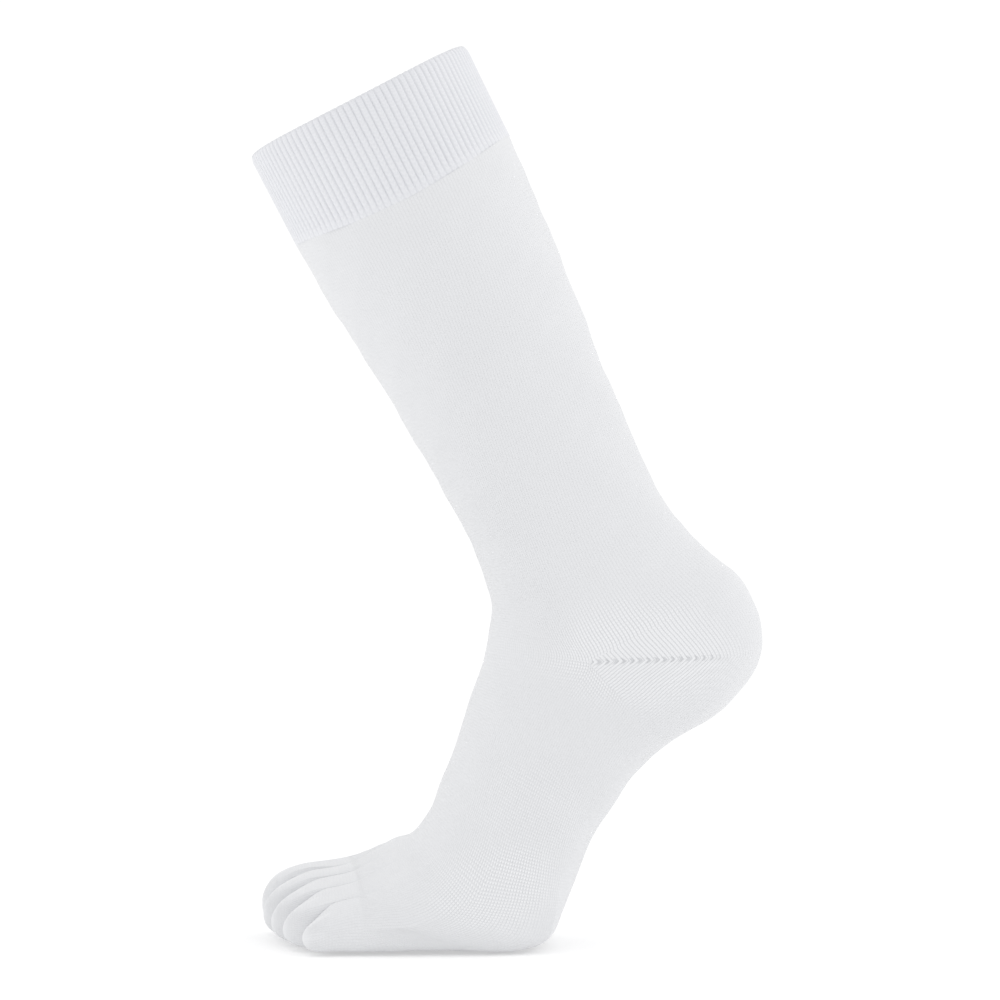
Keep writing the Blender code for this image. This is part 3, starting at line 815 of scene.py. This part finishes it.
JERSEY = Finish(contrast=0.17, slant=0.5, dip=0.2, beat=0.3, hollow=PAINTED_HOLLOW_SHADE)
RIB = Finish(contrast=0.26, slant=0.6, dip=0.2, beat=0.3, hollow=PAINTED_RIB_SHADE)
LEG = knit_material("leg_cotton_knit", JERSEY._replace(beat=0.12), worn_stretch)
HEEL = knit_material("heel_cotton_knit", JERSEY._replace(beat=0.08), worn_stretch, gore=True)
FOOT = knit_material("foot_cotton_knit", JERSEY, worn_stretch)
TOE = knit_material("toe_cotton_knit", JERSEY, even_stretch, tip=True)
RIBBED = knit_material("ribbed_cotton_knit", RIB, even_stretch)
print("materials:", [material.name for material in (LEG, HEEL, FOOT, TOE, RIBBED)])

# %% [markdown]
# ## The leg and the foot
# On the machine these are one tube, so both are made by the same few lines. The grid's columns are the
# wales. UVs count wales and courses: across, each half of a course holds half of the needles, and down
# the sock a course is as high as the yarn makes it.

# %% Wales and courses
WALES = 2 * RIB_COUNT
WALE_SPREAD = 9
COURSE_PITCH = 0.0013
GRID_STEP = 0.0013
INNER_EVERY = 3


def wale_counts(grid):
    """The wale coordinate of each point, with a closing column at the end. Each half of a course holds
    half of the needles, and the wales' density goes over smoothly from one half to the other."""
    step = np.linalg.norm(np.roll(grid, -1, axis=1) - grid, axis=2)
    index = np.arange(COLUMNS)
    behind = (index >= QUARTER) & (index < 3 * QUARTER)
    length = np.where(behind, step[:, behind].sum(axis=1)[:, None], step[:, ~behind].sum(axis=1)[:, None])
    wales = bell_mean(1 / length, WALE_SPREAD) * step
    counted = np.cumsum(wales / wales.sum(axis=1)[:, None] * WALES, axis=1)
    return np.concatenate((np.zeros((len(grid), 1)), counted), axis=1)


def tube_skin(loops, tangents, steps, every, first_course):
    """A grid through the rows with its stitch counts."""
    rows = int(steps.sum() / GRID_STEP) // every + 2
    grid, at = flow(loops, tangents, steps, rows)
    courses = np.broadcast_to((first_course + at / COURSE_PITCH)[:, None], (rows, COLUMNS + 1))
    return grid, np.stack((wale_counts(grid), courses), axis=2)


def roughened(grid, around_it):
    """The grid with its unevenness."""
    return grid + uneven(grid)[..., None] * grid_normals(grid, around_it)


# %% Leg
leg_outer, leg_uv = tube_skin(outside.leg, outside.leg_slopes, outside.leg_steps, 1, 0.0)
leg_inner, leg_inner_uv = tube_skin(inside.leg, inside.leg_slopes, inside.leg_steps, INNER_EVERY, 0.0)
leg_mesh = add_wall("leg_knit", roughened(leg_outer, True), leg_inner, leg_uv, leg_inner_uv, True)
show_piece("leg_knit", leg_mesh, "leg", LEG)

# %% Foot
BORDER_FROM, BORDER_FADE = 0.30, 0.2
BORDER_COLUMNS = 44
BORDER_ROUNDS = 260


def settled(grid, rounds):
    """The foot's two side borders smoothed, as taut cloth would settle: again and again, y moves half
    way to the mean of its four neighbours. It works fully along the lines of the little toe's and the
    big toe's side, and fades out around the foot and towards the ankle."""
    out = grid.copy()
    down = smooth((np.linspace(0, 1, len(grid)) - BORDER_FROM) / BORDER_FADE)
    weight = (1 - smooth(FROM_SIDE / BORDER_COLUMNS))[None, :] * down[:, None]
    for _ in range(rounds):
        y = out[..., 1]
        above, below = np.concatenate((y[:1], y[:-1])), np.concatenate((y[1:], y[-1:]))
        mean = (above + below + np.roll(y, 1, axis=1) + np.roll(y, -1, axis=1)) / 4
        out[..., 1] = y + weight * (mean - y) / 2
    return out


foot_outer, foot_uv = tube_skin(outside.foot, outside.foot_slopes, outside.foot_steps, 1, 0.0)
foot_inner, foot_inner_uv = tube_skin(inside.foot, inside.foot_slopes, inside.foot_steps, INNER_EVERY, 0.0)
foot_outer = settled(foot_outer, BORDER_ROUNDS)
foot_inner = settled(foot_inner, BORDER_ROUNDS // INNER_EVERY)
foot_mesh = add_wall("foot_knit", roughened(foot_outer, True), foot_inner, foot_uv, foot_inner_uv, True)
show_piece("foot_knit", foot_mesh, "foot", FOOT)

# %% [markdown]
# ## The heel pocket
# The machine knits the heel back and forth over half of the needles, over fewer and fewer of them and
# then over more again. The two halves meet in a seam that runs back from each side point, the gore, and
# there each turn leaves a small hole. The wales meet in it at an angle. So the stitch counts are worked
# out as if the pocket were laid flat around the side point: distance and angle from the gore.

# %% Heel
HEEL_ROWS_FINE = 110
GORE_TURN = HEEL_RISE
WALE_LEAN = math.radians(45)
COURSE_FLARE = 0.25


def heel_counts(grid, at):
    """Wales and courses of the heel, and the gore's own coordinates. With distance d from the side
    point and angle a from the level gore, the wale is d exp(G(r - r^2/2 - 1/2)), where G is GORE_TURN
    and r = a / G up to 1: it leaves the gore at 45 degrees and bends by the angle G until it runs on
    into the leg or the sole. A term of the fourth power of d, which is small near the side point, makes
    the count come out whole at the back. The course is d sin(45 degrees - a), with d flared a little."""
    columns = grid.shape[1]
    walked = np.cumsum(np.linalg.norm(np.diff(grid, axis=1), axis=2), axis=1)
    walked = np.concatenate((np.zeros((len(grid), 1)), walked), axis=1)
    share = 2 * walked / walked[:, -1:]
    left = np.arange(columns) <= columns // 2
    share = np.where(left, share, 2 - share)
    reach = walked[:, -1:] / 2
    turn = (at / at[-1] * HEEL_TURN)[:, None]
    angle = np.abs(turn - GORE_TURN)
    above = turn < GORE_TURN
    bent = np.clip(angle / GORE_TURN, 0, 1)
    kink = np.exp(GORE_TURN * (bent - bent**2 / 2 - 0.5))
    wale = WALES / 4 * (share * kink + (1 - kink) * share**4)
    wale = np.where(left, WALES / 4 + wale, 3 * WALES / 4 - wale)
    down = np.sin(WALE_LEAN - angle)
    down = np.where(above, down, 2 * math.sin(WALE_LEAN) - down)
    flared = (1 + COURSE_FLARE) * share - COURSE_FLARE * share**5
    course = reach * flared * down / COURSE_PITCH
    away = share * reach * np.sin(turn - GORE_TURN)
    along = share * reach * np.cos(turn - GORE_TURN)
    return np.stack((wale, course), axis=2), np.stack((along, away), axis=2)


def heel_skin(skin, rows):
    """The back half of the skin's heel rows, with its stitch counts and the gore's coordinates."""
    grid, at = flow(skin.heel[:, BACK], skin.heel_slopes[:, BACK], skin.heel_steps, rows)
    return grid, *heel_counts(grid, at)


heel_outer, heel_uv, gore_uv = heel_skin(outside, HEEL_ROWS_FINE)
heel_inner, heel_inner_uv, _ = heel_skin(inside, HEEL_ROWS_FINE // INNER_EVERY)
heel_outer = roughened(heel_outer, False)
heel_mesh = add_wall("heel_knit", heel_outer, heel_inner, heel_uv, heel_inner_uv, False, gore_uv)
show_piece("heel_knit", heel_mesh, "heel", HEEL)

# %% [markdown]
# ## The toe pockets
# Each toe has its own small tube, closed at the tip. Its courses are superellipses that shrink towards
# the tip by (1 - t^p)^(1/2), which is blunt for a high power p. At the root the pocket starts exactly
# on the foot's last course and with its slope, and on its way to the tip it finds its own round.

# %% Toes
TOE_ROWS = 60
TOE_GAP = 0.0003
TOE_WALE = 0.0013
ROOT_HOLDS, ROOT_SHARE = 0.40, 0.98
LEAN_SHARE = 0.6
WALL_STEPS = 6


def toe_angles(toe):
    """All angles around a toe in the order that makes its faces point out, and which column of the
    foot each one starts from. The sides that face a neighbour start from none: -1."""
    index = TOES.index(toe)
    upper = lobe_angles(toe)
    lower = -upper[::-1]
    top = (QUARTER - LOBE_STEPS * index - np.arange(LOBE_STEPS + 1)) % COLUMNS
    bottom = QUARTER + LOBE_STEPS * index + np.arange(LOBE_STEPS, -1, -1)
    towards_big = np.linspace(upper[-1], lower[0], WALL_STEPS + 2)[1:-1]
    towards_little = np.linspace(lower[-1], upper[0] - 2 * math.pi, WALL_STEPS + 2)[1:-1]
    hidden = np.full(WALL_STEPS, -1)
    if index == 0:
        angles, places = (upper, towards_big, lower[:-1]), (top, hidden, bottom[:-1])
    elif index == len(TOES) - 1:
        angles, places = (upper, lower[1:], towards_little), (top, bottom[1:], hidden)
    else:
        angles, places = (upper, towards_big, lower, towards_little), (top, hidden, bottom, hidden)
    return np.concatenate(angles)[::-1], np.concatenate(places)[::-1]


def toe_skin(toe, middle_y, half_width, inset, rows, last_courses):
    """A grid from the root to the tip, where it closes to a point. At the root it takes its place and
    its slope from the foot's last two courses, and both fade out down the toe."""
    angles, places = toe_angles(toe)
    shares = np.sin(np.linspace(0, math.pi / 2, rows))
    length = toe.length * TOE_REACH - inset
    loops = []
    for share in shares:
        size = max(1 - share**TOE_BLUNT, 0.0) ** 0.5
        waist = 1 - (1 - TOE_WAIST) * math.sin(math.pi * min(2 * share, 1) / 2)
        middle = swell(share, toe.middle, toe.tip_middle) * TOE_HEIGHT
        top = swell(share, toe.top, toe.tip_top) * TOE_HEIGHT
        across = (half_width - TOE_GAP / 2) * waist - inset
        above, below = (top - middle - inset) * size, (middle - inset) * size
        centre = middle_y + share * toe.spread * BALL_WIDTH
        flat = lobe(angles, centre, across * size, FLOOR_Z + middle, above, below)
        root_x = TOE_LINE - TOE_LINE_SLANT * swell(share, flat[:, 0], middle_y)
        loops.append(np.column_stack((root_x - share * length, flat)))
    loops = np.array(loops)
    known = places >= 0
    turned = np.arange(len(places))
    root, before = last_courses[-1][places], last_courses[-2][places]
    own = (loops[1] - loops[0]) / shares[1]
    slope = (root - before) / (before - root)[:, :1] * length
    off, lean = root - loops[0], slope - own
    for axis in range(3):
        off[:, axis] = np.interp(turned, turned[known], off[known, axis], period=len(places))
        lean[:, axis] = np.interp(turned, turned[known], lean[known, axis], period=len(places))
    place_fade = 1 - smooth((shares - ROOT_HOLDS) / (ROOT_SHARE - ROOT_HOLDS))
    lean_fade = shares * np.clip(1 - shares / LEAN_SHARE, 0, 1) ** 2
    return loops + off * place_fade[:, None, None] + lean * lean_fade[:, None, None]


def toe_counts(grid):
    """Whole wales around the root, and courses by the distance from the tip."""
    closed = np.concatenate((grid, grid[:, :1]), axis=1)
    girth = np.linalg.norm(np.diff(closed[0], axis=0), axis=1)
    walked = np.concatenate(([0.0], np.cumsum(girth)))
    wales = walked / walked[-1] * round(walked[-1] / TOE_WALE)
    down = np.linalg.norm(np.diff(grid, axis=0), axis=2).mean(axis=1)
    courses = np.concatenate((np.cumsum(down[::-1])[::-1], [0.0])) / COURSE_PITCH
    return np.stack(np.broadcast_arrays(wales[None, :], courses[:, None]), axis=2)


for toe, middle_y, half_width in toe_cells():
    outer = toe_skin(toe, middle_y, half_width, 0.0, TOE_ROWS, roughened(foot_outer, True))
    inner = toe_skin(toe, middle_y, half_width, KNIT_WALL, TOE_ROWS // INNER_EVERY, foot_inner)
    name = toe.name + "_knit"
    mesh = add_wall(name, outer, inner, toe_counts(outer), toe_counts(inner), True)
    show_piece(name, mesh, toe.name, TOE)

# %% [markdown]
# ## The ribbed cuff
# Rib knit is a row of rounded ridges with narrow valleys between them. They are deep enough to shade
# and to notch the rim, so they are modelled: the skin is moved in by a height that depends on the place
# across the rib. At the rim the outer skin turns over into the inner one in a half round.

# %% Cuff
RIB_HEIGHT = 0.0006
RIM_CURL = 0.0011
RIM_REACH = 0.0032
RIB_FADE = 0.0022
RIB_END = 0.0045
RIM_RIBS, LAST_RIBS = 0.45, 0.15
RIM_NOTCH = 0.2
LINING_RIBS = 0.5
RIB_POINTS = 8
RIB_COLUMNS = RIB_COUNT * RIB_POINTS
CUFF_ROWS = 11 * INNER_EVERY + 1
ROW_CROWDING = 1.3
RIM_ROWS = 7
CUFF_COURSES = 30


def rib_depth():
    """How far the skin lies below the crests: next to nothing over most of a rib, and the whole height
    in a narrow valley, by the third power of the distance from the crest."""
    away = np.abs((np.arange(RIB_COLUMNS) / RIB_POINTS) % 1.0 - 0.5) * 2
    return (RIB_HEIGHT * away**3)[:, None]


def cuff_rows(sunk):
    """Loops of the outer skin and of the lining, closer together towards the rim. The ribs are lower
    at both ends of the band, and at the rim both skins curl in."""
    skins, linings = [], []
    for share in swell(np.linspace(0, 1, CUFF_ROWS) ** ROW_CROWDING, CUFF_WALL / 2 / CUFF_HEIGHT, 1.0):
        skin, lining = (around(cuff_course(share), inset, RIB_COLUMNS // 4) for inset in (0.0, CUFF_WALL))
        inwards = (lining - skin) / CUFF_WALL
        from_rim, from_leg = share * CUFF_HEIGHT, (1 - share) * CUFF_HEIGHT
        curl = RIM_CURL * max(1 - from_rim / RIM_REACH, 0) ** 2
        at_rim, at_leg = smooth(from_rim / RIB_FADE), smooth(from_leg / RIB_END)
        fade = swell(at_rim, RIM_RIBS, 1.0) * swell(at_leg, LAST_RIBS, 1.0)
        skins.append(skin + inwards * (sunk * fade + curl))
        linings.append(lining + inwards * (curl - sunk * fade * LINING_RIBS))
    return skins, linings


def rim_rows(first_out, first_in, sunk):
    """The loops of the half round from the outer skin's first loop over to the lining's. It stands up
    by half the wall, and a little less over the valleys, which notches the rim."""
    rise = np.array([-DOWN_LEG[0], 0.0, -DOWN_LEG[1]])
    middle, reach = (first_out + first_in) / 2, (first_out - first_in) / 2
    lift = CUFF_WALL / 2 * (1 - sunk / RIB_HEIGHT * RIM_NOTCH)
    turns = np.linspace(0, math.pi, 2 * RIM_ROWS + 1)[1:-1]
    return [middle + reach * math.cos(turn) + rise * lift * math.sin(turn) for turn in turns]


def cuff_counts(grid):
    """One rib across is one unit, and the courses are counted down the band."""
    ribs = np.arange(RIB_COLUMNS + 1) / RIB_POINTS
    courses = np.linspace(0, CUFF_COURSES, len(grid))
    return np.stack(np.broadcast_arrays(ribs[None, :], courses[:, None]), axis=2)


rib_valleys = rib_depth()
skin_rows, lining_rows = cuff_rows(rib_valleys)
turned_over = rim_rows(skin_rows[0], lining_rows[0], rib_valleys)
cuff_outer = np.array(turned_over[RIM_ROWS - 1 :: -1] + skin_rows)
cuff_inner = np.array(turned_over[RIM_ROWS - 1 :] + lining_rows[::INNER_EVERY])
cuff_uv, cuff_inner_uv = cuff_counts(cuff_outer), cuff_counts(cuff_inner)
cuff_mesh = add_wall("cuff_knit", cuff_outer, cuff_inner, cuff_uv, cuff_inner_uv, True)
show_piece("cuff_knit", cuff_mesh, "cuff", RIBBED)

# %% [markdown]
# ## Studio
# The photograph is lit from all around: the sock has hardly any shadow, and there is nothing but white
# around and under it. A bright even world does that, and two large soft lights add a little form. The
# floor is a sheet of white acrylic, lit from below as on a light table, so the sock's own shadow on it
# stays faint. The camera stands level and straight in front of the sock's outer side.

# %% Floor
FLOOR_HALF = 6.0
FLOOR_DROP = 0.0008
FLOOR_WHITE = (0.72, 0.72, 0.72, 1.0)
FLOOR_GLOW = 0.30
acrylic = bpy.data.materials.new("white_acrylic")
acrylic.use_nodes = True
acrylic_inputs = acrylic.node_tree.nodes["Principled BSDF"].inputs
acrylic_inputs["Base Color"].default_value = FLOOR_WHITE
acrylic_inputs["Roughness"].default_value = 1.0
acrylic_inputs["Specular IOR Level"].default_value = 0.0
acrylic_inputs["Emission Color"].default_value = (1.0, 1.0, 1.0, 1.0)
acrylic_inputs["Emission Strength"].default_value = FLOOR_GLOW
floor_mesh = bpy.data.meshes.new("floor")
floor_corners = FLOOR_HALF * np.array([(-1, -1), (1, -1), (1, 1), (-1, 1)])
floor_height = float(FLOOR_Z - FLOOR_DROP)
floor_mesh.from_pydata([(x, y, floor_height) for x, y in floor_corners], [], [(0, 1, 2, 3)])
floor_mesh.materials.append(acrylic)
floor = bpy.data.objects.new("floor", floor_mesh)
bpy.context.scene.collection.objects.link(floor)
print("floor at", round(floor_height, 4))

# %% Light and camera
world = bpy.data.worlds.new("studio")
bpy.context.scene.world = world
world.use_nodes = True
WORLD_LIGHT = 1.05
SOFTBOX_SIDE = 1.2
world.node_tree.nodes["Background"].inputs["Color"].default_value = (1.0, 1.0, 1.0, 1.0)
world.node_tree.nodes["Background"].inputs["Strength"].default_value = WORLD_LIGHT


def add_softbox(name, place, aim, power):
    """A square area light at a place, turned to aim at a point."""
    light = bpy.data.lights.new(name, "AREA")
    light.size = SOFTBOX_SIDE
    light.energy = power
    box = bpy.data.objects.new(name, light)
    bpy.context.scene.collection.objects.link(box)
    box.location = place
    way = Vector(aim) - Vector(place)
    box.rotation_mode = "QUATERNION"
    box.rotation_quaternion = way.to_track_quat("-Z", "Y")


MIDDLE = (0.058, 0.0, -0.163)
add_softbox("toe_side_softbox", (-1.3, -0.25, -0.2), MIDDLE, 3.0)
add_softbox("heel_side_softbox", (1.4, -0.1, 0.35), MIDDLE, 2.6)

PICTURE_CENTRE = (0.05822, -0.16318)
CAMERA_DISTANCE = 1.5
PICTURE_SPAN = 0.41
SENSOR = 36.0
camera_data = bpy.data.cameras.new("camera")
camera_data.sensor_width = SENSOR
camera_data.lens = SENSOR * CAMERA_DISTANCE / PICTURE_SPAN
camera = bpy.data.objects.new("camera", camera_data)
bpy.context.scene.collection.objects.link(camera)
camera.location = (PICTURE_CENTRE[0], -CAMERA_DISTANCE, PICTURE_CENTRE[1])
camera.rotation_euler = (math.pi / 2, 0.0, 0.0)
bpy.context.scene.camera = camera
bpy.context.scene.view_settings.view_transform = "Standard"
print("lens in mm:", round(camera_data.lens, 1))

# %% [markdown]
